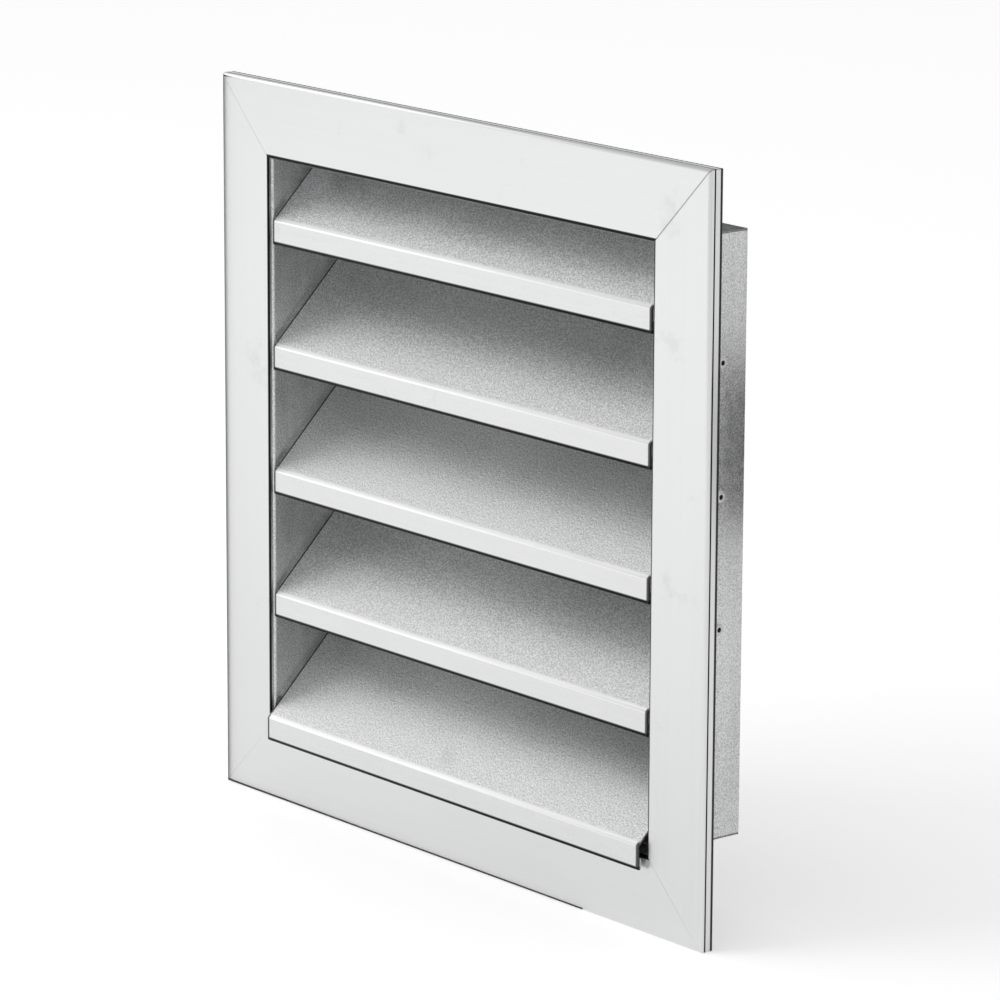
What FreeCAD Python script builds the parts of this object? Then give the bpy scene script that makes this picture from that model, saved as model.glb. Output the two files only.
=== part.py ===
# Fixed-blade weather louvre: a mitred frame, a sheet collar behind it and five sloped blades.
# Lengths are in millimetres. X runs to the viewer's right, Z runs up and Y runs into the wall.
# The origin is the centre of the opening, on the plane where the seal meets the wall.
import FreeCAD, Part

import math
import os

import Sketcher

BLADE_COUNT = 5
TOLERANCE = 1e-4

DIMENSIONS = [
    ("overall_width", 385.0, "frame, outside, left to right"),
    ("overall_height", 385.0, "frame, outside, bottom to top"),
    ("face_width", 40.0, "visible width of one frame member"),
    ("frame_depth", 6.3, "front face to the back of the rim"),
    ("face_wall", 2.0, "thickness of the front face"),
    ("rim_wall", 1.8, "thickness of the outer rim"),
    ("rim_round", 2.0, "radius of the rim's front corner"),
    ("groove_at", 2.9, "front face to the middle of the groove round the rim"),
    ("groove_width", 0.7, "groove round the rim"),
    ("groove_depth", 0.5, "groove round the rim"),
    ("foot_width", 6.0, "foot of the rim, along the wall"),
    ("foot_wall", 1.4, "thickness of that foot"),
    ("seal_thickness", 1.5, "foam seal between the foot and the wall"),
    ("seal_inset", 0.1, "edge of the foot to the edge of the seal"),
    ("hook_start", 12.0, "outer edge to the first hook behind the face"),
    ("hook_wall", 1.2, "thickness of the hooks"),
    ("hook_reach", 2.5, "overhang of the hooks"),
    ("slot_depth", 1.9, "clear depth under the hooks"),
    ("key_width", 15.0, "leg width of a corner key"),
    ("key_leg", 55.0, "leg length of a corner key, from its outer corner"),
    ("key_thickness", 1.6, "plate of a corner key"),
    ("key_chamfer", 2.0, "lead-in at the ends of a key's legs"),
    ("key_gap", 0.2, "clearance at each side of a key"),
    ("collar_depth", 52.2, "wall plane to the collar's rear edge"),
    ("collar_sheet", 1.0, "sheet of the collar"),
    ("collar_bend", 0.5, "inside radius of the collar's front bend"),
    ("flange_gap", 0.3, "collar flange to the hook beside it"),
    ("lap_width", 14.0, "spot-welded laps that join the collar's sides to its top and bottom"),
    ("lap_front", 2.0, "wall plane to the front end of a lap"),
    ("lap_back", 50.0, "wall plane to the rear end of a lap"),
    ("blade_sheet", 1.2, "sheet of a blade"),
    ("blade_angle", 45.0, "slope of a blade, in degrees"),
    ("blade_depth", 55.0, "front of the lip to the rear of a blade"),
    ("first_drop", 32.8, "top of the opening to the first blade's fold"),
    ("sill_rise", 5.4, "bottom of the opening to the last blade's fold"),
    ("lip_height", 12.7, "upright lip at the front of a blade, with its hem"),
    ("hem_height", 6.0, "edge of the lip folded back flat on itself"),
    ("blade_end_gap", 2.5, "end of a blade to the side of the opening, tabs aside"),
    ("lip_setback", 1.0, "frame's front face back to the lips"),
    ("sill_proud", 4.0, "lowest lip, in front of the frame's face"),
    ("upstand_height", 8.0, "rear upstand of a blade"),
    ("fold_round", 1.4, "outside radius of a blade's folds"),
    ("hem_round", 1.1, "outside radius of the hem"),
    ("tab_round", 1.0, "outside radius of the fold to an end tab"),
    ("blade_gap", 0.2, "end tab of a blade to the collar"),
    ("top_flange", 12.0, "rear flange of the top blade"),
    ("tab_start", 14.0, "fold to the end tab, along the slope"),
    ("tab_end", 64.0, "fold to the far end of the tab, along the slope"),
    ("tab_width", 12.0, "end tab, square to the slope"),
    ("tab_slant", 5.0, "slant of the tab's front edge, along the slope"),
    ("top_tab_end", 38.0, "far end of the top blade's shorter tab"),
    ("rivet_first", 24.0, "fold to the front rivet, along the slope"),
    ("rivet_second", 55.5, "fold to the rear rivet, along the slope"),
    ("rivet_inset", 6.0, "blade's upper face to its rivets, square to the slope"),
    ("rivet_diameter", 3.2, "shank of a blind rivet"),
    ("rivet_gap", 0.1, "shank to its hole, on the radius"),
    ("head_diameter", 6.2, "head of a blind rivet"),
    ("head_height", 1.1, "head of a blind rivet"),
    ("rivet_tail", 3.0, "shank beyond the sheets"),
]

document = FreeCAD.newDocument("WeatherLouvre")
sheet = document.addObject("Spreadsheet::Sheet", "Sizes")
for row, (alias, value, note) in enumerate(DIMENSIONS, start=1):
    sheet.set(f"A{row}", note)
    sheet.set(f"B{row}", str(value))
    sheet.setAlias(f"B{row}", alias)
document.recompute()


class Size:
    """A number and the sheet expression that drives it, worked out side by side."""

    def __init__(self, value, text):
        self.value = value
        self.text = text

    def __add__(self, other):
        other = as_size(other)
        return Size(self.value + other.value, f"({self.text} + {other.text})")

    def __sub__(self, other):
        other = as_size(other)
        return Size(self.value - other.value, f"({self.text} - {other.text})")

    def __mul__(self, other):
        other = as_size(other)
        return Size(self.value * other.value, f"({self.text} * {other.text})")

    def __truediv__(self, other):
        other = as_size(other)
        return Size(self.value / other.value, f"({self.text} / {other.text})")

    def __neg__(self):
        return self * -1


def as_size(number):
    return number if isinstance(number, Size) else Size(float(number), repr(float(number)))


def cell(alias):
    return Size(float(sheet.get(alias)), f"Sizes.{alias}")


def of_angle(name, function, angle):
    return Size(function(math.radians(angle.value)), f"{name}({angle.text} * 1deg)")


size = {alias: cell(alias) for alias, value, note in DIMENSIONS}
zero = as_size(0)

# Places that several pieces share
half_width = size["overall_width"] / 2
half_height = size["overall_height"] / 2
rim_back = -size["seal_thickness"]
face_front = rim_back - size["frame_depth"]
face_back = face_front + size["face_wall"]
hook_under = face_back + size["slot_depth"]
hook_top = hook_under + size["hook_wall"]
key_inset = size["hook_start"] + size["hook_wall"] + size["key_gap"]
key_inner = key_inset + size["key_width"]
rib_start = key_inner + size["key_gap"]
rib_end = rib_start + size["hook_wall"]
flange_inset = rib_end + size["flange_gap"]
flange_back = face_back + size["collar_sheet"]
bend_end = flange_back + size["collar_bend"] + size["collar_sheet"]
collar_half_width = half_width - size["face_width"]
collar_half_height = half_height - size["face_width"]
inside_half_width = collar_half_width - size["collar_sheet"]
inside_half_height = collar_half_height - size["collar_sheet"]
lap_under = inside_half_height - size["collar_sheet"]
tab_face = inside_half_width - size["blade_gap"]
blade_half_width = collar_half_width - size["blade_end_gap"]
blade_rows = collar_half_height * 2 - size["first_drop"] - size["sill_rise"]
blade_pitch = blade_rows / (BLADE_COUNT - 1)
slope_cos = of_angle("cos", math.cos, size["blade_angle"])
slope_sin = of_angle("sin", math.sin, size["blade_angle"])
slope_tan = of_angle("tan", math.tan, size["blade_angle"])
hole_radius = size["rivet_diameter"] / 2 + size["rivet_gap"]
margin = size["face_width"] / 10


def new_body(label):
    body = document.addObject("PartDesign::Body", label)
    body.Label = label
    return body


def origin_plane(body, role):
    return next(item for item in body.Origin.OriginFeatures if item.Role == role)


def new_sketch(body, name, role, offset=None):
    sketch = body.newObject("Sketcher::SketchObject", name)
    sketch.AttachmentSupport = (origin_plane(body, role), [""])
    sketch.MapMode = "FlatFace"
    if offset is not None:
        sketch.setExpression("AttachmentOffset.Base.z", offset.text)
    return sketch


def hold_point(sketch, geometry, end, name, point):
    """Ties one point of a sketch to the sheet, across and up from the sketch's origin."""
    for kind, place in zip(("DistanceX", "DistanceY"), point):
        index = sketch.addConstraint(
            Sketcher.Constraint(kind, -1, 1, geometry, end, place.value)
        )
        label = f"{name}_{kind[-1].lower()}"
        sketch.renameConstraint(index, label)
        sketch.setExpression(f"Constraints.{label}", place.text)


def draw_polygon(sketch, name, points):
    """Closes a run of straight lines through the points, each point tied to the sheet."""
    first = sketch.GeometryCount
    corners = [FreeCAD.Vector(x.value, y.value, 0) for x, y in points]
    for start, end in zip(corners, corners[1:] + corners[:1]):
        sketch.addGeometry(Part.LineSegment(start, end), False)
    count = len(points)
    for index, point in enumerate(points):
        line = first + index
        after = first + (index + 1) % count
        sketch.addConstraint(Sketcher.Constraint("Coincident", line, 2, after, 1))
        hold_point(sketch, line, 1, f"{name}{index}", point)


def draw_circle(sketch, name, centre, radius):
    middle = FreeCAD.Vector(centre[0].value, centre[1].value, 0)
    circle = Part.Circle(middle, FreeCAD.Vector(0, 0, 1), radius.value)
    line = sketch.addGeometry(circle, False)
    hold_point(sketch, line, 3, name, centre)
    index = sketch.addConstraint(Sketcher.Constraint("Radius", line, radius.value))
    sketch.renameConstraint(index, f"{name}_radius")
    sketch.setExpression(f"Constraints.{name}_radius", radius.text)


def box_points(low, high):
    return [(low[0], low[1]), (high[0], low[1]), (high[0], high[1]), (low[0], high[1])]


def settle(feature):
    document.recompute()
    if "Invalid" in feature.State or feature.Shape.isNull():
        raise RuntimeError(f"{feature.Label} can't be worked out")
    return feature


def pad(body, sketch, name, length, both_ways=False):
    feature = body.newObject("PartDesign::Pad", name)
    feature.Profile = sketch
    feature.SideType = "Symmetric" if both_ways else "One side"
    feature.setExpression("Length", length.text)
    return settle(feature)


def pocket_through(body, sketch, name):
    feature = body.newObject("PartDesign::Pocket", name)
    feature.Profile = sketch
    feature.Type = "ThroughAll"
    feature.SideType = "Symmetric"
    before = body.Shape.Volume
    settle(feature)
    if body.Shape.Volume >= before:
        raise RuntimeError(f"{body.Label}: {name} cuts nothing")
    return feature


def mirror(body, features, role):
    mirrored = body.newObject("PartDesign::Mirrored", f"{features[-1].Label}Mirrored")
    mirrored.Originals = features
    mirrored.MirrorPlane = (origin_plane(body, role), [""])
    body.Tip = mirrored
    return settle(mirrored)


def edges_where(shape, test):
    """Names the straight edges whose two ends both pass a test."""
    found = []
    for number, edge in enumerate(shape.Edges, start=1):
        ends = [vertex.Point for vertex in edge.Vertexes]
        straight = len(ends) == 2 and isinstance(edge.Curve, Part.Line)
        if straight and all(test(end) for end in ends):
            found.append(f"Edge{number}")
    return found


def edges_along(shape, axis, places):
    """Names the edges parallel to an axis whose other two coordinates are one of places."""
    others = [index for index in range(3) if index != axis]
    found = []
    for place in places:
        targets = {index: value.value for index, value in zip(others, place)}
        found += edges_where(
            shape, lambda end: all(abs(end[i] - at) < TOLERANCE for i, at in targets.items())
        )
    return found


def round_edges(body, name, edges, radius, kind="Fillet"):
    if not edges:
        raise RuntimeError(f"{body.Label}: {name} finds no edge")
    base = body.Tip
    feature = body.newObject(f"PartDesign::{kind}", name)
    feature.Base = (base, edges)
    feature.setExpression("Radius" if kind == "Fillet" else "Size", radius.text)
    body.Tip = feature
    return settle(feature)


def place(body, x=zero, y=zero, z=zero, turn=0):
    """Puts a body in its place, turned about the Y axis by a number of degrees."""
    rotation = FreeCAD.Rotation(FreeCAD.Vector(0, 1, 0), turn)
    body.Placement = FreeCAD.Placement(FreeCAD.Vector(x.value, y.value, z.value), rotation)
    for axis, distance in zip("xyz", (x, y, z)):
        body.setExpression(f"Placement.Base.{axis}", distance.text)


def frame_section():
    """The extruded profile, as depth towards the wall and distance in from the outer edge."""
    groove_middle = face_front + size["groove_at"]
    groove_front = groove_middle - size["groove_width"] / 2
    groove_rear = groove_middle + size["groove_width"] / 2
    foot_front = rim_back - size["foot_wall"]
    hook_inner = size["hook_start"] + size["hook_wall"]
    hook_tip = hook_inner + size["hook_reach"]
    rib_outer_tip = rib_start - size["hook_reach"]
    rib_inner_tip = rib_end + size["hook_reach"]
    return [
        (face_front, zero),
        (groove_front, zero),
        (groove_front, size["groove_depth"]),
        (groove_rear, size["groove_depth"]),
        (groove_rear, zero),
        (rim_back, zero),
        (rim_back, size["foot_width"]),
        (foot_front, size["foot_width"]),
        (foot_front, size["rim_wall"]),
        (face_back, size["rim_wall"]),
        (face_back, size["hook_start"]),
        (hook_top, size["hook_start"]),
        (hook_top, hook_tip),
        (hook_under, hook_tip),
        (hook_under, hook_inner),
        (face_back, hook_inner),
        (face_back, rib_start),
        (hook_under, rib_start),
        (hook_under, rib_outer_tip),
        (hook_top, rib_outer_tip),
        (hook_top, rib_inner_tip),
        (hook_under, rib_inner_tip),
        (hook_under, rib_end),
        (face_back, rib_end),
        (face_back, size["face_width"]),
        (face_front, size["face_width"]),
    ]


def frame_member(label, length, x, z, turn):
    """One length of profile, cut at 45 degrees at both ends."""
    body = new_body(label)
    section = new_sketch(body, f"{label}Section", "YZ_Plane")
    draw_polygon(section, "corner", frame_section())
    pad(body, section, f"{label}Length", length, both_ways=True)
    outer = edges_along(body.Shape, 0, [(face_front, zero)])
    round_edges(body, f"{label}RimRound", outer, size["rim_round"])
    mitres = new_sketch(body, f"{label}MitreCuts", "XZ_Plane")
    reach = size["face_width"] + margin
    for side, name in ((-1, "left"), (1, "right")):
        end = length / 2
        corners = [
            ((end + margin) * side, -margin),
            ((end + margin) * side, reach),
            ((end - reach) * side, reach),
        ]
        draw_polygon(mitres, name, corners)
    pocket_through(body, mitres, f"{label}Mitres")
    place(body, x=x, z=z, turn=turn)
    return body


def corner_key(label, side, level):
    """The flat angle that slides into the slots of two members and draws the mitre shut."""
    body = new_body(label)
    outline = new_sketch(body, f"{label}Outline", "XZ_Plane", offset=-hook_under)

    def corner(across, down):
        x = (half_width - key_inset - across) * side
        z = (half_height - key_inset - down) * level
        return (x, z)

    leg = size["key_leg"]
    width = size["key_width"]
    corners = [
        corner(zero, zero),
        corner(leg, zero),
        corner(leg, width),
        corner(width, width),
        corner(width, leg),
        corner(zero, leg),
    ]
    draw_polygon(outline, "corner", corners)
    pad(body, outline, f"{label}Plate", size["key_thickness"])
    ends = [corners[index] for index in (1, 2, 4, 5)]
    edges = edges_along(body.Shape, 1, ends)
    round_edges(body, f"{label}LeadIn", edges, size["key_chamfer"], kind="Chamfer")
    return body


def collar_bend(body, label, on_side, sense):
    """Front flange, bend and the start of a wall, mitred at 45 degrees at both ends."""
    near = inside_half_width if on_side else inside_half_height
    flange_edge = (half_width if on_side else half_height) - flange_inset
    length = (half_height if on_side else half_width) - flange_inset
    wall_far = near + size["collar_sheet"]
    section = new_sketch(body, f"{label}BendSection", "XY_Plane" if on_side else "YZ_Plane")
    corners = [
        (near, face_back),
        (flange_edge, face_back),
        (flange_edge, flange_back),
        (wall_far, flange_back),
        (wall_far, bend_end),
        (near, bend_end),
    ]
    points = [(out * sense, depth) for out, depth in corners]
    if not on_side:
        points = [(depth, out) for out, depth in points]
    draw_polygon(section, "corner", points)
    pad(body, section, f"{label}Bend", length * 2, both_ways=True)
    axis = 2 if on_side else 0
    outer_round = size["collar_bend"] + size["collar_sheet"]
    outside = edges_along(body.Shape, axis, [points[0]])
    round_edges(body, f"{label}BendOutside", outside, outer_round)
    inside = edges_along(body.Shape, axis, [points[3]])
    round_edges(body, f"{label}BendInside", inside, size["collar_bend"])
    mitres = new_sketch(body, f"{label}MitreCuts", "XZ_Plane")
    corner_along = inside_half_height if on_side else inside_half_width
    reach = size["face_width"]
    for end, name in ((-1, "first"), (1, "second")):
        cut = [
            (near - margin, corner_along - margin),
            (near + reach, corner_along + reach),
            (near - margin, corner_along + reach),
        ]
        cut = [(out * sense, along * end) for out, along in cut]
        if not on_side:
            cut = [(along, out) for out, along in cut]
        draw_polygon(mitres, name, cut)
    pocket_through(body, mitres, f"{label}Mitres")


def collar_side(label, side):
    """Left or right wall of the collar, with laps under the top wall and over the bottom one."""
    body = new_body(label)
    collar_bend(body, label, True, side)
    near = inside_half_width * side
    offset = near if side > 0 else near - size["collar_sheet"]
    wall = new_sketch(body, f"{label}WallOutline", "YZ_Plane", offset=offset)
    low = (bend_end, -inside_half_height)
    high = (size["collar_depth"], inside_half_height)
    draw_polygon(wall, "corner", box_points(low, high))
    pad(body, wall, f"{label}Wall", size["collar_sheet"])
    lap = new_sketch(body, f"{label}LapOutline", "XY_Plane", offset=lap_under)
    low = (collar_half_width * side, size["lap_front"])
    high = ((collar_half_width - size["lap_width"]) * side, size["lap_back"])
    draw_polygon(lap, "corner", box_points(low, high))
    upper_lap = pad(body, lap, f"{label}Lap", size["collar_sheet"])
    mirror(body, [upper_lap], "XY_Plane")
    wall_holes = new_sketch(body, f"{label}HoleCentres", "YZ_Plane")
    for index, (depth, height) in enumerate(blade_rivet_places()):
        draw_circle(wall_holes, f"hole{index}", (depth, height), hole_radius)
    pocket_through(body, wall_holes, f"{label}BladeHoles")
    return body


def collar_lid(label, level):
    """Top or bottom wall of the collar, laid over the laps of both sides."""
    body = new_body(label)
    collar_bend(body, label, False, level)
    near = inside_half_height * level
    offset = near if level > 0 else near - size["collar_sheet"]
    wall = new_sketch(body, f"{label}WallOutline", "XY_Plane", offset=offset)
    low = (-collar_half_width, bend_end)
    high = (collar_half_width, size["collar_depth"])
    draw_polygon(wall, "corner", box_points(low, high))
    pad(body, wall, f"{label}Wall", size["collar_sheet"])
    return body


def blade_fold(number):
    """Depth and height of a blade's front fold. The lowest blade laps over the frame."""
    depth = face_front + size["lip_setback"]
    if number == BLADE_COUNT:
        depth = face_front - size["sill_proud"]
    height = collar_half_height - size["first_drop"] - blade_pitch * (number - 1)
    return depth, height


def down_slope(along, square):
    """A point on a blade's end: a distance up the slope, then square to it and down."""
    depth = slope_cos * along + slope_sin * square
    height = slope_sin * along - slope_cos * square
    return depth, height


def rivet_distances(number):
    """The top blade is cut short by the collar, so it has no rear rivets."""
    if number == 1:
        return [size["rivet_first"]]
    return [size["rivet_first"], size["rivet_second"]]


def blade_rivet_places():
    places = []
    for number in range(1, BLADE_COUNT + 1):
        fold_depth, fold_height = blade_fold(number)
        for along in rivet_distances(number):
            depth, height = down_slope(along, size["rivet_inset"])
            places.append((fold_depth + depth, fold_height + height))
    return places


def blade_section(number):
    """The folded sheet seen from its end, from the front fold on, and its outer rear fold.

    The top blade ends in a flange under the collar, the others end in an upstand.
    """
    sheet_size = size["blade_sheet"]
    across = sheet_size / slope_cos
    section = [
        (zero, zero),
        (zero, -size["lip_height"]),
        (sheet_size * 2, -size["lip_height"]),
        (sheet_size * 2, size["hem_height"] - size["lip_height"]),
        (sheet_size, size["hem_height"] - size["lip_height"]),
        (sheet_size, slope_tan * sheet_size - across),
    ]
    if number == 1:
        fold_height = blade_fold(number)[1]
        top = lap_under - fold_height
        under = top - sheet_size
        rear_fold = (top / slope_tan, top)
        rear = rear_fold[0] + size["top_flange"]
        section += [
            ((under + across) / slope_tan, under),
            (rear, under),
            (rear, top),
            rear_fold,
        ]
        return section, rear_fold
    rear = size["blade_depth"]
    rise = slope_tan * rear
    rear_fold = (rear, rise - across)
    front_of_rear = rear - sheet_size
    section += [
        rear_fold,
        (rear, rise + size["upstand_height"]),
        (front_of_rear, rise + size["upstand_height"]),
        (front_of_rear, slope_tan * front_of_rear),
    ]
    return section, rear_fold


def blade(label, number):
    """One folded sheet: hemmed lip, slope, rear edge and an end tab at each side."""
    body = new_body(label)
    section = new_sketch(body, f"{label}Section", "YZ_Plane")
    corners, rear_fold = blade_section(number)
    draw_polygon(section, "corner", corners)
    pad(body, section, f"{label}Length", blade_half_width * 2, both_ways=True)
    front_fold, hem_front, hem_rear = corners[:3]
    folds = edges_along(body.Shape, 0, [front_fold, rear_fold])
    round_edges(body, f"{label}Folds", folds, size["fold_round"])
    hem = edges_along(body.Shape, 0, [hem_front, hem_rear])
    round_edges(body, f"{label}Hem", hem, size["hem_round"])
    tab_end = size["top_tab_end"] if number == 1 else size["tab_end"]
    bend_start = blade_half_width - size["blade_sheet"]
    bend = new_sketch(body, f"{label}TabBendOutline", "YZ_Plane", offset=bend_start)
    bend_points = [
        down_slope(size["tab_start"], zero),
        down_slope(tab_end, zero),
        down_slope(tab_end, size["blade_sheet"]),
        down_slope(size["tab_start"], size["blade_sheet"]),
    ]
    draw_polygon(bend, "corner", bend_points)
    right_bend = pad(body, bend, f"{label}TabBend", tab_face - bend_start)
    tab = new_sketch(
        body, f"{label}TabOutline", "YZ_Plane", offset=tab_face - size["blade_sheet"]
    )
    tab_points = [
        down_slope(size["tab_start"], zero),
        down_slope(tab_end, zero),
        down_slope(tab_end, size["tab_width"]),
        down_slope(size["tab_start"] + size["tab_slant"], size["tab_width"]),
    ]
    draw_polygon(tab, "corner", tab_points)
    right_tab = pad(body, tab, f"{label}Tab", size["blade_sheet"])
    mirror(body, [right_bend, right_tab], "YZ_Plane")

    def on_tab_fold(point):
        at_end = abs(abs(point.x) - tab_face.value) < TOLERANCE
        return at_end and abs(point.z - slope_tan.value * point.y) < TOLERANCE

    tab_folds = edges_where(body.Shape, on_tab_fold)
    round_edges(body, f"{label}TabFolds", tab_folds, size["tab_round"])
    holes = new_sketch(body, f"{label}HoleCentres", "YZ_Plane")
    for index, along in enumerate(rivet_distances(number)):
        draw_circle(holes, f"hole{index}", down_slope(along, size["rivet_inset"]), hole_radius)
    pocket_through(body, holes, f"{label}Holes")
    fold_depth, fold_height = blade_fold(number)
    place(body, y=fold_depth, z=fold_height)
    return body


def rivet_shape():
    """A rivet on the Z axis: head above, shank down through the collar and a blade's tab."""
    head_radius = size["head_diameter"].value / 2
    head_height = size["head_height"].value
    shank_radius = size["rivet_diameter"].value / 2
    grip = size["collar_sheet"] + size["blade_gap"] + size["blade_sheet"]
    tail = (grip + size["rivet_tail"]).value
    outline = [
        (0, head_height),
        (head_radius, 0),
        (shank_radius, 0),
        (shank_radius, -tail),
        (0, -tail),
        (0, head_height),
    ]
    points = [FreeCAD.Vector(radius, 0, height) for radius, height in outline]
    face = Part.Face(Part.makePolygon(points))
    return face.revolve(FreeCAD.Vector(0, 0, 0), FreeCAD.Vector(0, 0, 1), 360)


def group(label, shapes):
    """Like fasteners as one object, each a separate solid already in its place."""
    feature = document.addObject("Part::Feature", label)
    feature.Label = label
    feature.Shape = Part.makeCompound(shapes)
    feature.Placement = FreeCAD.Placement()
    return feature


def pointed(shape, position, direction):
    """A copy of a shape with its Z axis along direction and its origin at position."""
    copy = shape.copy()
    rotation = FreeCAD.Rotation(FreeCAD.Vector(0, 0, 1), direction)
    copy.Placement = FreeCAD.Placement(position, rotation)
    return copy


def blade_rivets(label, side):
    rivet = rivet_shape()
    outward = FreeCAD.Vector(side, 0, 0)
    x = collar_half_width.value * side
    shapes = []
    for depth, height in blade_rivet_places():
        position = FreeCAD.Vector(x, depth.value, height.value)
        shapes.append(pointed(rivet, position, outward))
    return group(label, shapes)


def seal_strip(label, low, high):
    """A straight strip of foam on the rim's foot, between two corners."""
    body = new_body(label)
    outline = new_sketch(body, f"{label}Outline", "XZ_Plane")
    draw_polygon(outline, "corner", box_points(low, high))
    pad(body, outline, f"{label}Strip", size["seal_thickness"])
    return body


def wall_seal():
    """Four strips: the top and bottom ones run the full width, the others butt between them."""
    outer_x = half_width - size["seal_inset"]
    outer_z = half_height - size["seal_inset"]
    inner_x = half_width - size["foot_width"]
    inner_z = half_height - size["foot_width"]
    return [
        seal_strip("wall_seal_top", (-outer_x, inner_z), (outer_x, outer_z)),
        seal_strip("wall_seal_bottom", (-outer_x, -outer_z), (outer_x, -inner_z)),
        seal_strip("wall_seal_left", (-outer_x, -inner_z), (-inner_x, inner_z)),
        seal_strip("wall_seal_right", (inner_x, -inner_z), (outer_x, inner_z)),
    ]


pieces = [
    frame_member("frame_top", size["overall_width"], zero, half_height, 180),
    frame_member("frame_bottom", size["overall_width"], zero, -half_height, 0),
    frame_member("frame_left", size["overall_height"], -half_width, zero, 90),
    frame_member("frame_right", size["overall_height"], half_width, zero, -90),
    corner_key("corner_key_top_left", -1, 1),
    corner_key("corner_key_top_right", 1, 1),
    corner_key("corner_key_bottom_left", -1, -1),
    corner_key("corner_key_bottom_right", 1, -1),
    collar_side("collar_left", -1),
    collar_side("collar_right", 1),
    collar_lid("collar_top", 1),
    collar_lid("collar_bottom", -1),
]
pieces += [blade(f"blade_{number}", number) for number in range(1, BLADE_COUNT + 1)]
pieces += [
    blade_rivets("blade_rivets_left", -1),
    blade_rivets("blade_rivets_right", 1),
]
pieces += wall_seal()
document.recompute()

for item in document.Objects:
    if "Invalid" in item.State or "Error" in item.State:
        raise RuntimeError(f"{item.Label} failed: {item.State}")
for piece in pieces:
    if piece.Shape.isNull() or not piece.Shape.isValid():
        raise RuntimeError(f"{piece.Label} has no valid shape")

os.makedirs("parts", exist_ok=True)
for piece in pieces:
    piece.Shape.exportStep(os.path.join("parts", f"{piece.Label}.step"))
    box = piece.Shape.BoundBox
    print(
        f"{piece.Label}: {len(piece.Shape.Solids)} solid(s), {piece.Shape.Volume:.1f} mm3, "
        f"x {box.XMin:.2f} to {box.XMax:.2f}, y {box.YMin:.2f} to {box.YMax:.2f}, "
        f"z {box.ZMin:.2f} to {box.ZMax:.2f}"
    )
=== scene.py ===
"""Looks for the weather louvre: softened edges, blind rivets, metal finishes and a white studio."""

import math

import bmesh
import bpy
from mathutils import Matrix, Vector


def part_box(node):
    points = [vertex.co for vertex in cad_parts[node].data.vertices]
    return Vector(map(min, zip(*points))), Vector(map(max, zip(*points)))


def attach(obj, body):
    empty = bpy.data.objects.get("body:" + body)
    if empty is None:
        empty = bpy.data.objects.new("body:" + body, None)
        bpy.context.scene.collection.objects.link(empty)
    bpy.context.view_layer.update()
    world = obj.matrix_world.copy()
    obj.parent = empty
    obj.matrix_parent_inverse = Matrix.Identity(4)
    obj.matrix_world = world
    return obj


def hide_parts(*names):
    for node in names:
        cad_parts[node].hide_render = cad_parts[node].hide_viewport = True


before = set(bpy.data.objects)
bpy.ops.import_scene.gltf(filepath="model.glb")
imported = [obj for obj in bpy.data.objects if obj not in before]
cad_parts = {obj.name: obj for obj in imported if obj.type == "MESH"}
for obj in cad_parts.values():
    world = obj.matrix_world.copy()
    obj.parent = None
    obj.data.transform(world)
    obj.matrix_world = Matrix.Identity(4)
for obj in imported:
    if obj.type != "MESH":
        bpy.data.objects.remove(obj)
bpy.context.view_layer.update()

MM = 0.001

# The frame: half its width, half its opening, its front face, and its rim with the groove
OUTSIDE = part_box("frame_top")[1][2]
OPENING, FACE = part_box("frame_top")[0][2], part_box("frame_top")[0][1]
GROOVE = FACE + 2.9 * MM
RIM_WIDTH = 4.5 * MM

# The collar's spot welds, from the middle and from the wall plane
WELD_AT = 145.5 * MM
WELD_DEPTHS = (9.0 * MM, 26.0 * MM, 43.0 * MM)

# The folded lip of a blade: its sheet, and the heights over its lower edge below which its hemmed
# edge is painted as shade and above which its top bend is painted as a highlight
LIP_SHEET = 1.0 * MM
HEM_SHADE_TOP = 1.2 * MM
FOLD_HIGHLIGHT_AT = 11.6 * MM

# The pin of a blind rivet: how far it and its hole reach from the axis and over the sheet
PIN_REACH = 1.26 * MM
PIN_HEIGHT = 0.9 * MM

# Distances within which vertices are joined, and within which one counts as being at a place
JOINED_WITHIN = 0.002 * MM
NEAR = 0.01 * MM

# Edges over the first angle are rounded, edges under the second are shaded smooth, and faces wider
# than the third value are shaded flat
ROUNDED_ABOVE = math.radians(25)
SMOOTH_BELOW = math.radians(32)
FLAT_ABOVE = 2.0 * MM

FRAME_MEMBERS = ("frame_top", "frame_bottom", "frame_left", "frame_right")
CORNER_KEYS = (
    "corner_key_top_left",
    "corner_key_top_right",
    "corner_key_bottom_left",
    "corner_key_bottom_right",
)
COLLAR_LIDS = ("collar_top", "collar_bottom")
COLLAR_SIDES = ("collar_left", "collar_right")
BLADES = ("blade_1", "blade_2", "blade_3", "blade_4", "blade_5")
SEAL_STRIPS = ("wall_seal_top", "wall_seal_bottom", "wall_seal_left", "wall_seal_right")


# Shader maths written as Python


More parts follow.
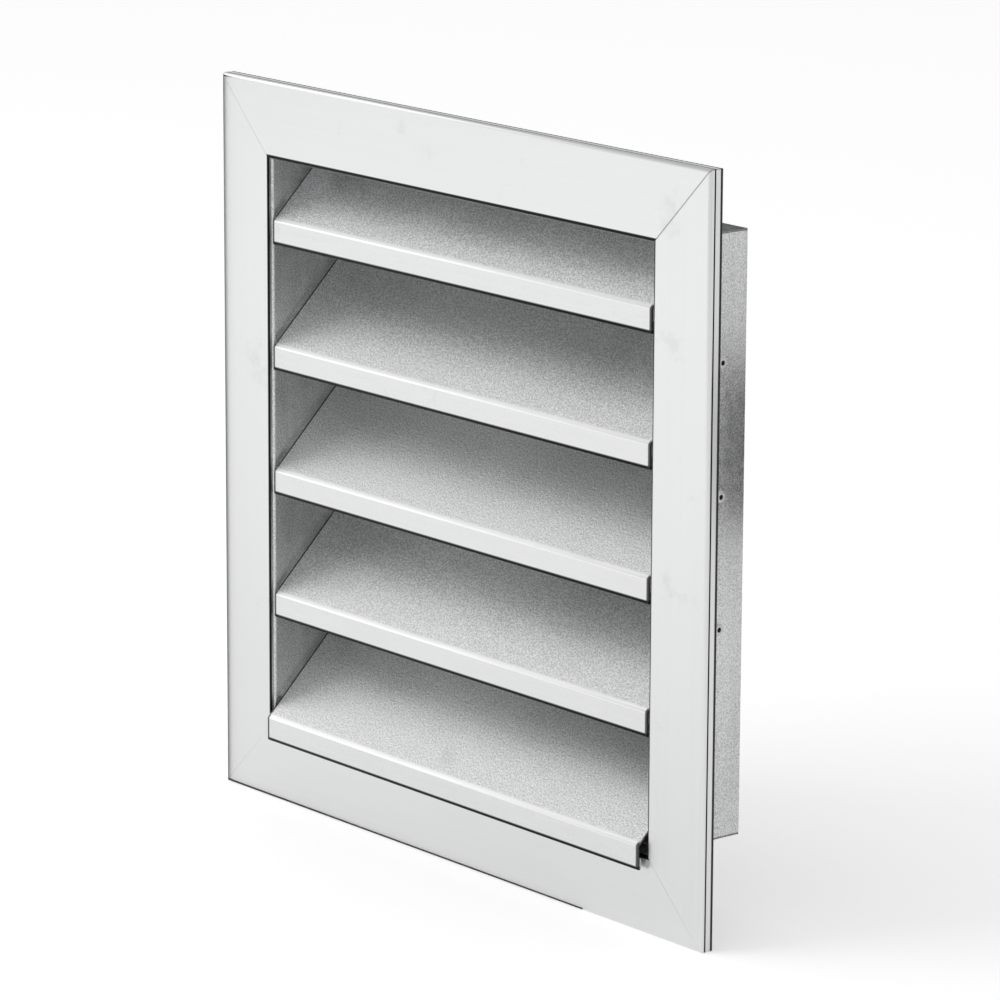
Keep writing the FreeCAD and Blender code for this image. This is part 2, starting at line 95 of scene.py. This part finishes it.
class Signal:
    """A value in a node graph, with the arithmetic that adds its Math nodes."""

    def __init__(self, graph, socket):
        self.graph = graph
        self.socket = socket

    def maths(self, operation, *values):
        return self.graph.add("ShaderNodeMath", {"operation": operation}, dict(enumerate(values)))

    def __add__(self, other):
        return self.maths("ADD", self, other)

    def __radd__(self, other):
        return self.maths("ADD", other, self)

    def __sub__(self, other):
        return self.maths("SUBTRACT", self, other)

    def __rsub__(self, other):
        return self.maths("SUBTRACT", other, self)

    def __mul__(self, other):
        return self.maths("MULTIPLY", self, other)

    def __rmul__(self, other):
        return self.maths("MULTIPLY", other, self)

    def __truediv__(self, other):
        return self.maths("DIVIDE", self, other)

    def __rtruediv__(self, other):
        return self.maths("DIVIDE", other, self)

    def __abs__(self):
        return self.maths("ABSOLUTE", self)

    def root(self):
        return self.maths("SQRT", self)

    def between(self, low, high):
        """0 at low and below, 1 at high and above, smooth in the middle."""
        settings = {"interpolation_type": "SMOOTHSTEP"}
        return self.graph.add("ShaderNodeMapRange", settings, {0: self, 1: low, 2: high})


class Graph:
    """The nodes of a material or of the world."""

    def __init__(self, tree):
        self.tree = tree
        tree.nodes.clear()

    def feed(self, socket, value):
        if isinstance(value, Signal):
            self.tree.links.new(value.socket, socket)
        else:
            socket.default_value = value

    def add(self, kind, settings=None, values=None, output=0):
        """Adds a node: its settings first, then the values or links of its sockets."""
        node = self.tree.nodes.new(kind)
        for name, value in (settings or {}).items():
            setattr(node, name, value)
        for name, value in (values or {}).items():
            self.feed(node.inputs[name], value)
        return Signal(self, node.outputs[output])

    def parts(self, vector):
        """The x, y and z of a vector."""
        return [self.add("ShaderNodeSeparateXYZ", {}, {0: vector}, output) for output in range(3)]

    def end(self, kind, surface):
        """Adds the output node."""
        self.feed(self.tree.nodes.new(kind).inputs["Surface"], surface)


class Finish(Graph):
    """A procedural material on object coordinates."""

    def __init__(self, name, **constants):
        self.material = bpy.data.materials.new(name)
        self.material.use_nodes = True
        super().__init__(self.material.node_tree)
        self.shader = self.tree.nodes.new("ShaderNodeBsdfPrincipled")
        self.wear(**constants)
        self.end("ShaderNodeOutputMaterial", Signal(self, self.shader.outputs[0]))
        self.place = self.add("ShaderNodeTexCoord", output="Object")

    def stretched(self, x, y, z):
        """Object coordinates scaled by axis: a pattern runs long where a number is small."""
        values = {0: self.place, 1: (x, y, z)}
        return self.add("ShaderNodeVectorMath", {"operation": "MULTIPLY"}, values)

    def noise(self, place, scale, detail=3.0, roughness=0.55):
        values = {"Vector": place, "Scale": scale, "Detail": detail, "Roughness": roughness}
        return self.add("ShaderNodeTexNoise", {"noise_dimensions": "3D"}, values)

    def cells(self, scale, output):
        """Voronoi cells: output 0 is the distance from a cell's middle, 1 the cell's own colour."""
        values = {"Vector": self.place, "Scale": scale}
        return self.add("ShaderNodeTexVoronoi", {"feature": "F1"}, values, output)

    def blend(self, amount, first, second):
        return self.add("ShaderNodeMix", {"data_type": "RGBA"}, {0: amount, 6: first, 7: second}, 2)

    def bump(self, height, distance, strength=1.0, under=None):
        values = {"Height": height, "Distance": distance, "Strength": strength}
        if under is not None:
            values["Normal"] = under
        return self.add("ShaderNodeBump", {}, values)

    def wear(self, **channels):
        """Sets the shader's sockets, by a constant or by what changes over the surface."""
        for name, value in channels.items():
            self.feed(self.shader.inputs[name.replace("_", " ")], value)
        return self.material


def grey(level, warmth=0.0):
    """A grey, a little warmer or cooler than neutral."""
    return (level * (1 + warmth), level, level * (1 - warmth), 1.0)


# Finishes


def extruded_aluminium(name, along):
    """Mill-finish extrusion: die lines along the profile, a soft haze and a few handling marks.

    Its sharp edge round the opening and the groove round its rim are painted near black as shade, and
    one mitre, at the top right, is painted dark as shade.
    """
    finish = Finish(name, Metallic=1.0)
    axis = "XYZ".index(along)
    fine = [900.0, 900.0, 900.0]
    fine[axis] = 5.0
    wide = [150.0, 150.0, 150.0]
    wide[axis] = 1.5
    die_lines = finish.noise(finish.stretched(*fine), 1.0, detail=2.0)
    bands = finish.noise(finish.stretched(*wide), 1.0, detail=2.0)
    haze = finish.noise(finish.place, 9.0, detail=4.0)
    grain = finish.noise(finish.place, 2600.0, detail=1.0)
    marks = finish.noise(finish.place, 34.0, detail=6.0, roughness=0.7).between(0.60, 0.72)
    tone = (die_lines - 0.5) * 0.16 + (bands - 0.5) * 0.12 + (haze - 0.5) * 0.30
    tone = tone + (grain - 0.5) * 0.14
    colour = finish.blend((tone + 0.5).between(0.1, 0.9), grey(0.74, -0.006), grey(0.86, -0.003))
    colour = finish.blend(marks * 0.25, colour, grey(0.66, 0.004))
    x, y, z = finish.parts(finish.place)
    across = abs(z) if along == "X" else abs(x)
    reach = 1.5 * MM if along == "X" else 0.8 * MM
    # Painted shade: the rounded edge round the opening and a thin strip of the face beside it are
    # painted near black.
    opening_edge_shade = 1 - (across - OPENING).between(reach, reach + 0.6 * MM)
    behind_face = (y - FACE).between(0.5 * MM, 1.2 * MM)
    on_rim = across.between(OUTSIDE - RIM_WIDTH, OUTSIDE - RIM_WIDTH + 1.0 * MM)
    # Painted shade: the groove round the rim is painted near black.
    groove_shade = 1 - abs(y - GROOVE).between(0.30 * MM, 0.60 * MM)
    # Painted shade: the mitre seam is painted dark, at the top right only.
    mitre_seam_shade = 1 - abs(abs(x) - abs(z)).between(0.15 * MM, 0.7 * MM)
    upper_right = (x + z).between(150.0 * MM, 300.0 * MM)
    colour = finish.blend(opening_edge_shade * (1 - behind_face), colour, grey(0.012))
    colour = finish.blend(groove_shade * on_rim, colour, grey(0.02))
    colour = finish.blend(mitre_seam_shade * upper_right * 0.6, colour, grey(0.12))
    roughness = 0.34 + (die_lines - 0.5) * 0.14 + (haze - 0.5) * 0.12 + marks * 0.10
    lines = finish.bump(die_lines, 0.00001, 0.3)
    surface = finish.bump(grain, 0.00001, 0.3, under=lines)
    return finish.wear(Base_Color=colour, Roughness=roughness, Normal=surface)


def rolled_sheet(name, lip_front, lip_bottom, lip_end):
    """Rolled sheet: a grain like salt and pepper on the slope, a cleaner lip painted a little lighter
    as light, painted shade on the hemmed edge, at each end of the lip and at the slope's left bend,
    and a painted highlight on the lip's top bend.
    """
    finish = Finish(name, Metallic=1.0)
    rolling = finish.noise(finish.stretched(26.0, 420.0, 420.0), 1.0, detail=2.0)
    speckle = finish.noise(finish.place, 1300.0, detail=2.0, roughness=0.7)
    clouds = finish.noise(finish.place, 16.0, detail=4.0)
    stains = finish.noise(finish.place, 60.0, detail=5.0, roughness=0.7).between(0.58, 0.75)
    x, y, z = finish.parts(finish.place)
    slope = y.between(lip_front + LIP_SHEET, lip_front + LIP_SHEET + 1.2 * MM)
    lip = 1 - slope
    # Painted shade: the hemmed lower edge of the lip is painted near black.
    hem_shade = 1 - z.between(lip_bottom + HEM_SHADE_TOP, lip_bottom + HEM_SHADE_TOP + 0.9 * MM)
    # Painted highlight: the lip's top bend is painted almost white.
    fold_highlight = z.between(lip_bottom + FOLD_HIGHLIGHT_AT, lip_bottom + FOLD_HIGHLIGHT_AT + 0.4 * MM)
    # Painted shade: each end of the lip is painted near black.
    lip_end_shade = abs(x).between(lip_end - 1.7 * MM, lip_end - 0.9 * MM)
    # Painted shade: a thin line on the slope at its left bend is painted near black.
    past_left_end = 0 - x - lip_end
    left_bend_shade = past_left_end.between(-1.5 * MM, -1.0 * MM)
    left_bend_shade = left_bend_shade * (1 - past_left_end.between(0.0, 0.1 * MM))
    grain = (speckle.between(0.36, 0.64) - 0.5) * (0.18 + slope * 0.82)
    tone = grain * 0.85 + (rolling - 0.5) * 0.16 + (clouds - 0.5) * 0.30
    colour = finish.blend((tone + 0.5).between(0.0, 1.0), grey(0.56, -0.006), grey(0.99, -0.004))
    # The lip has less grain, and it is painted a little lighter than the slope as light.
    colour = finish.blend(lip * 0.6, colour, grey(0.84, -0.004))
    colour = finish.blend(stains * 0.15, colour, grey(0.56, 0.01))
    colour = finish.blend(slope * left_bend_shade * 0.9, colour, grey(0.02))
    colour = finish.blend(lip * fold_highlight, colour, grey(0.99))
    colour = finish.blend(lip * hem_shade, colour, grey(0.012))
    colour = finish.blend(lip * lip_end_shade * 0.9, colour, grey(0.03))
    roughness = 0.45 + grain * 0.16 + (clouds - 0.5) * 0.14 + stains * 0.08
    surface = finish.bump(speckle, 0.00004, 0.4)
    surface = finish.bump(rolling, 0.00002, 0.3, under=surface)
    return finish.wear(Base_Color=colour, Roughness=roughness, Normal=surface)


def galvanised_sheet(name, dark, light, welds=False):
    """Dull zinc: small crystals, soft clouding and a fine grain, with weld spots where laps are."""
    finish = Finish(name, Metallic=1.0)
    crystals = finish.cells(260.0, output=1)
    crystal_tone = finish.add("ShaderNodeSeparateColor", {"mode": "RGB"}, {0: crystals})
    grain = finish.noise(finish.place, 1300.0, detail=2.0, roughness=0.7)
    clouds = finish.noise(finish.place, 14.0, detail=4.0)
    run = finish.noise(finish.stretched(70.0, 160.0, 10.0), 1.0, detail=3.0)
    pepper = grain.between(0.34, 0.66)
    tone = (crystal_tone - 0.5) * 0.10 + (pepper - 0.5) * 0.60 + (clouds - 0.5) * 0.40
    tone = tone + (run - 0.5) * 0.30
    colour = finish.blend((tone + 0.5).between(0.0, 1.0), dark, light)
    roughness = 0.46 + (pepper - 0.5) * 0.16 + (clouds - 0.5) * 0.16 + (crystal_tone - 0.5) * 0.05
    surface = finish.bump(grain, 0.00004, 0.5)
    if welds:
        x, y, z = finish.parts(finish.place)
        across = abs(x) - WELD_AT
        for depth in WELD_DEPTHS:
            along = y - depth
            away = (across * across + along * along).root()
            dimple = away.between(1.6 * MM, 2.6 * MM)
            colour = finish.blend((1 - dimple) * 0.45, colour, grey(0.36, 0.02))
            surface = finish.bump(dimple, 0.0003, 0.8, under=surface)
    return finish.wear(Base_Color=colour, Roughness=roughness, Normal=surface)


def fastener_metal(name, level, metallic=1.0):
    """Rivets, pins and keys: fine grain and faint blotches on a metal of the given brightness."""
    finish = Finish(name, Metallic=metallic)
    grain = finish.noise(finish.place, 1900.0, detail=2.0)
    blotches = finish.noise(finish.place, 130.0, detail=3.0)
    colour = finish.blend(blotches.between(0.3, 0.7), grey(level * 0.86, 0.012), grey(level, 0.0))
    roughness = 0.34 + (grain - 0.5) * 0.20 + (blotches - 0.5) * 0.12
    surface = finish.bump(grain, 0.00002, 0.4)
    return finish.wear(Base_Color=colour, Roughness=roughness, Normal=surface)


def sealing_foam(name):
    """Black closed-cell foam: open pores where the strip was cut."""
    finish = Finish(name)
    pores = finish.cells(2400.0, output=0)
    patches = finish.noise(finish.place, 900.0, detail=3.0)
    colour = finish.blend(pores.between(0.1, 0.5), grey(0.012), grey(0.035, 0.01))
    roughness = 0.86 + (patches - 0.5) * 0.16
    surface = finish.bump(pores, 0.00015, 0.7)
    return finish.wear(Base_Color=colour, Roughness=roughness, Normal=surface)


# Pieces


def finish_piece(name, builder, material, node):
    """Turns a bmesh into a piece that stands for a CAD node.

    A strip's width is about twice its area over its perimeter. The wide faces are all flat in the
    real sheet and profile, and the narrow ones are its bends and rounded edges.
    """
    narrow = [face.calc_area() < face.calc_perimeter() * FLAT_ABOVE / 2 for face in builder.faces]
    mesh = bpy.data.meshes.new(name)
    builder.to_mesh(mesh)
    builder.free()
    mesh.set_sharp_from_angle(angle=SMOOTH_BELOW)
    for polygon, smooth in zip(mesh.polygons, narrow):
        polygon.use_smooth = smooth
    mesh.materials.append(material)
    piece = bpy.data.objects.new(name, mesh)
    bpy.context.scene.collection.objects.link(piece)
    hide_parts(node)
    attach(piece, "root")
    return piece


def merged_copy(node):
    """The CAD node's own shape with its loose triangles joined and flat ones dissolved."""
    builder = bmesh.new()
    builder.from_mesh(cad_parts[node].data)
    bmesh.ops.remove_doubles(builder, verts=builder.verts, dist=JOINED_WITHIN)
    bmesh.ops.dissolve_limit(
        builder,
        angle_limit=math.radians(0.4),
        verts=builder.verts,
        edges=builder.edges,
        delimit={"NORMAL"},
    )
    return builder


def rounded(builder, edges, width, segments=2):
    """Rounds the given edges."""
    bmesh.ops.bevel(
        builder,
        geom=edges,
        offset=width,
        offset_type="OFFSET",
        affect="EDGES",
        segments=segments,
        profile=0.5,
        material=-1,
        clamp_overlap=True,
    )


def soften(builder, width):
    """Rounds every sharp outer and inner edge a little, as cut and folded metal is."""
    sharp = [
        edge
        for edge in builder.edges
        if len(edge.link_faces) == 2 and edge.calc_face_angle(0) > ROUNDED_ABOVE
    ]
    rounded(builder, sharp, width)


def softened(node, name, width, material):
    """A CAD node's shape with softened edges."""
    builder = merged_copy(node)
    soften(builder, width)
    return finish_piece(name, builder, material, node)


def frame_profile(node, material):
    """A frame member: the edge round the opening is rolled over more than the others."""
    builder = merged_copy(node)
    opening = [
        edge
        for edge in builder.edges
        if all(
            abs(end.co.y - FACE) < NEAR and max(abs(end.co.x), abs(end.co.z)) < OPENING + NEAR
            for end in edge.verts
        )
    ]
    rounded(builder, opening, 0.6 * MM, segments=3)
    soften(builder, 0.22 * MM)
    return finish_piece(f"{node}_profile", builder, material, node)


def lip_of(node):
    """How far a blade's lip goes forward, down and to the side."""
    points = [vertex.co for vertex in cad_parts[node].data.vertices]
    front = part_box(node)[0][1]
    lip = [point for point in points if point.y < front + LIP_SHEET / 2]
    return front, min(point.z for point in lip), max(point.x for point in lip)


def loose_parts(node):
    """Lowest and highest corner of each separate solid in a node, from the bottom up."""
    builder = bmesh.new()
    builder.from_mesh(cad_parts[node].data)
    bmesh.ops.remove_doubles(builder, verts=builder.verts, dist=JOINED_WITHIN)
    waiting = set(builder.verts)
    boxes = []
    while waiting:
        front = [waiting.pop()]
        found = []
        while front:
            vertex = front.pop()
            found.append(vertex.co.copy())
            for edge in vertex.link_edges:
                other = edge.other_vert(vertex)
                if other in waiting:
                    waiting.remove(other)
                    front.append(other)
        low = Vector([min(point[axis] for point in found) for axis in range(3)])
        high = Vector([max(point[axis] for point in found) for axis in range(3)])
        boxes.append((low, high))
    builder.free()
    return sorted(boxes, key=lambda box: (box[0].z, box[0].y))


def spun_rivet(builder, position, outward, turn):
    """A set blind rivet: domed head with its pulled pin, shank, and the swollen end inside.

    Its outline is in millimetres, as distance from the axis and height over the sheet.
    """
    grip = 2.4
    outline = [
        (0.0, 0.15),
        (0.70, 0.12),
        (0.95, -0.02),
        (1.15, 0.05),
        (1.25, 0.62),
        (1.32, 0.90),
        (1.45, 1.00),
        (2.05, 0.86),
        (2.60, 0.58),
        (2.95, 0.30),
        (3.08, 0.14),
        (3.08, 0.03),
        (3.00, 0.0),
        (1.60, 0.0),
        (1.60, -grip),
        (2.00, -grip - 0.05),
        (2.32, -grip - 0.45),
        (2.40, -grip - 1.1),
        (2.25, -grip - 1.9),
        (1.75, -grip - 2.6),
        (1.45, -grip - 2.85),
        (0.9, -grip - 2.98),
        (0.0, -grip - 3.0),
    ]
    vertices = [builder.verts.new((radius * MM, 0.0, height * MM)) for radius, height in outline]
    edges = [builder.edges.new(pair) for pair in zip(vertices, vertices[1:])]
    bmesh.ops.spin(
        builder,
        geom=vertices + edges,
        cent=(0, 0, 0),
        axis=(0, 0, 1),
        angle=math.tau,
        steps=36,
        use_merge=True,
    )
    spun = Matrix.Rotation(turn, 4, "Z")
    facing = Vector((0, 0, 1)).rotation_difference(outward).to_matrix().to_4x4()
    placed = Matrix.Translation(position) @ facing @ spun
    new = [vertex for vertex in builder.verts if not vertex.tag]
    bmesh.ops.transform(builder, matrix=placed, verts=new)
    for vertex in new:
        vertex.tag = True


def rivet_row(node, name, side, material, pin):
    """The rivets of one side, each where the CAD's own is, with their pins in a second metal."""
    builder = bmesh.new()
    outward = Vector((side, 0, 0))
    for index, (low, high) in enumerate(loose_parts(node)):
        sheet_face = (high.x if side > 0 else low.x) - side * 1.1 * MM
        position = Vector((sheet_face, (low.y + high.y) / 2, (low.z + high.z) / 2))
        spun_rivet(builder, position, outward, turn=0.7 * index)
        for face in builder.faces:
            away = face.calc_center_median() - position
            height = away.dot(outward)
            if 0 < height < PIN_HEIGHT and (away - outward * height).length < PIN_REACH:
                face.material_index = 1
    bmesh.ops.remove_doubles(builder, verts=builder.verts, dist=0.001 * MM)
    bmesh.ops.recalc_face_normals(builder, faces=builder.faces)
    piece = finish_piece(name, builder, material, node)
    piece.data.materials.append(pin)
    return piece


run_across = extruded_aluminium("extrusion_across", "X")
run_upright = extruded_aluminium("extrusion_upright", "Z")
# Painted shade: the lids' zinc is painted much darker than the sides', as a shaded copy of the same
# zinc.
lid_zinc_shaded = galvanised_sheet("collar_zinc_lids_shaded", grey(0.16, -0.006), grey(0.50, -0.004), welds=True)
side_zinc = galvanised_sheet("collar_zinc_sides", grey(0.48, -0.006), grey(0.95, -0.004))
rivet_metal = fastener_metal("rivet_metal", 0.94, metallic=0.1)
pin_metal = fastener_metal("rivet_pin_steel", 0.05)
key_metal = fastener_metal("key_zinc", 0.62)
foam = sealing_foam("seal_foam_black")

for node in FRAME_MEMBERS:
    material = run_across if node in ("frame_top", "frame_bottom") else run_upright
    frame_profile(node, material)
for node in BLADES:
    blade_metal = rolled_sheet(f"{node}_sheet", *lip_of(node))
    softened(node, f"{node}_folded", 0.22 * MM, blade_metal)
for node in COLLAR_LIDS:
    softened(node, f"{node}_panel", 0.18 * MM, lid_zinc_shaded)
for node in COLLAR_SIDES:
    softened(node, f"{node}_panel", 0.18 * MM, side_zinc)
for node in CORNER_KEYS:
    softened(node, f"{node}_plate", 0.2 * MM, key_metal)
for node in SEAL_STRIPS:
    softened(node, f"{node}_foam", 0.15 * MM, foam)
rivet_row("blade_rivets_left", "rivets_left", -1, rivet_metal, pin_metal)
rivet_row("blade_rivets_right", "rivets_right", 1, rivet_metal, pin_metal)


# Studio

FLOOR_HEIGHT = -OUTSIDE
FLOOR_LIFT = 0.39
MIRRORED_LIFT = 0.28
TO_FRONT = Vector((0, -1, 0))
TO_RIGHT = Vector((1, 0, 0))
UPWARDS = Vector((0, 0, 1))


def studio_floor():
    """White paper that keeps the soft shadow and shows as white in the picture and in the metal."""
    builder = bmesh.new()
    bmesh.ops.create_grid(builder, x_segments=1, y_segments=1, size=12.0)
    bmesh.ops.translate(builder, vec=(0, 0, FLOOR_HEIGHT), verts=builder.verts)
    mesh = bpy.data.meshes.new("studio_floor")
    builder.to_mesh(mesh)
    builder.free()
    floor = bpy.data.objects.new("studio_floor", mesh)
    bpy.context.scene.collection.objects.link(floor)
    material = bpy.data.materials.new("floor_white")
    material.use_nodes = True
    graph = Graph(material.node_tree)
    seen = graph.add("ShaderNodeLightPath", output="Is Camera Ray")
    mirrored = graph.add("ShaderNodeLightPath", output="Is Glossy Ray")
    through = graph.add("ShaderNodeLightPath", output="Is Transmission Ray")
    lift = seen * FLOOR_LIFT + (mirrored + through) * MIRRORED_LIFT
    paper = graph.add("ShaderNodeBsdfDiffuse", {}, {"Color": grey(0.93)})
    glow = graph.add("ShaderNodeEmission", {}, {"Strength": lift})
    graph.end("ShaderNodeOutputMaterial", graph.add("ShaderNodeAddShader", {}, {0: paper, 1: glow}))
    mesh.materials.append(material)


def studio_world():
    """A white room with a tall window on the left, dimmer overhead and behind on the right."""
    world = bpy.data.worlds.new("studio_world")
    bpy.context.scene.world = world
    world.use_nodes = True
    graph = Graph(world.node_tree)
    x, y, z = graph.parts(graph.add("ShaderNodeTexCoord", output="Generated"))
    overhead = z.between(0.15, 0.75)
    behind_right = (x + y).between(0.2, 1.2)
    window = z.between(-0.02, 0.10) * (1 - z.between(0.46, 0.74)) * (1 - x.between(-0.65, -0.25))
    window = window * (1 - abs(y + 0.24).between(0.10, 0.45))
    strength = 1.0 - overhead * 0.38 - behind_right * 0.12 + window * 1.5
    light = graph.add("ShaderNodeBackground", {}, {"Strength": strength})
    graph.end("ShaderNodeOutputWorld", light)


def aimed(position, direction):
    """The place and turn of something at a position that faces a direction."""
    turn = direction.to_track_quat("-Z", "Y").to_matrix().to_4x4()
    return Matrix.Translation(position) @ turn


def soft_lamp(name, position, width, height, power):
    """A soft box that faces the grille and that neither the camera nor a reflection sees."""
    data = bpy.data.lights.new(name, "AREA")
    data.shape = "RECTANGLE"
    data.size = width
    data.size_y = height
    data.energy = power
    lamp = bpy.data.objects.new(name, data)
    lamp.matrix_world = aimed(position, -Vector(position))
    lamp.visible_camera = False
    lamp.visible_glossy = False
    bpy.context.scene.collection.objects.link(lamp)


def black_flag(name, position, direction, width, height):
    """A black card that only the metal's reflections see."""
    builder = bmesh.new()
    bmesh.ops.create_grid(builder, x_segments=1, y_segments=1, size=0.5)
    bmesh.ops.scale(builder, vec=(width, height, 1), verts=builder.verts)
    bmesh.ops.transform(builder, matrix=aimed(position, direction), verts=builder.verts)
    mesh = bpy.data.meshes.new(name)
    builder.to_mesh(mesh)
    builder.free()
    card = bpy.data.objects.new(name, mesh)
    bpy.context.scene.collection.objects.link(card)
    card.visible_camera = False
    card.visible_diffuse = False
    card.visible_shadow = False
    material = bpy.data.materials.new(name)
    material.use_nodes = True
    graph = Graph(material.node_tree)
    cloth = graph.add("ShaderNodeBsdfDiffuse", {}, {"Color": grey(0.03)})
    graph.end("ShaderNodeOutputMaterial", cloth)
    mesh.materials.append(material)


def photo_camera():
    """The photograph's long lens, from the right, a little above."""
    yaw = 0.88176
    pitch = 0.23034
    roll = 0.00483
    forward = Vector(
        (-math.sin(yaw) * math.cos(pitch), math.cos(yaw) * math.cos(pitch), -math.sin(pitch))
    )
    right = forward.cross(Vector((0, 0, 1))).normalized()
    up = right.cross(forward)
    turned_right = right * math.cos(roll) + up * math.sin(roll)
    turned_up = up * math.cos(roll) - right * math.sin(roll)
    position = Vector((2.03221, -1.65034, 0.61108))
    axes = Matrix((turned_right, turned_up, -forward)).transposed().to_4x4()
    data = bpy.data.cameras.new("photo_camera")
    data.sensor_fit = "HORIZONTAL"
    data.sensor_width = 36.0
    data.lens = 191.736
    data.clip_start = 0.05
    data.clip_end = 60.0
    camera = bpy.data.objects.new("photo_camera", data)
    camera.matrix_world = Matrix.Translation(position) @ axes
    bpy.context.scene.collection.objects.link(camera)
    bpy.context.scene.camera = camera


studio_floor()
studio_world()
photo_camera()
soft_lamp("key_front_left", (-1.4, -2.3, 1.5), 2.0, 2.0, 28.0)

# Cards that darken the slopes' rear part: one behind the blades, one on the floor behind, on the left
black_flag("rear_flag", (0.04, 0.085, 0), TO_FRONT, 0.26, 0.34)
black_flag("side_flag", (-1.02, 0.76, -0.19), UPWARDS, 1.5, 1.5)

# Cards that darken the collar's top and its right side
black_flag("lid_flag", (-0.10, 0.13, 0.175), TO_FRONT, 0.5, 0.075)
black_flag("collar_flag", (0.23, 0.10, 0.030), TO_FRONT, 0.12, 0.08)

# Narrow cards that draw the frame's left and bottom outlines
black_flag("left_line_flag", (-OUTSIDE - 1.2 * MM, -0.0058, 0), TO_RIGHT, 0.0105, 0.385)
black_flag("bottom_line_flag", (-0.047, -0.0055, -OUTSIDE + 0.08 * MM), UPWARDS, 0.30, 0.010)

bpy.context.scene.view_settings.view_transform = "Standard"
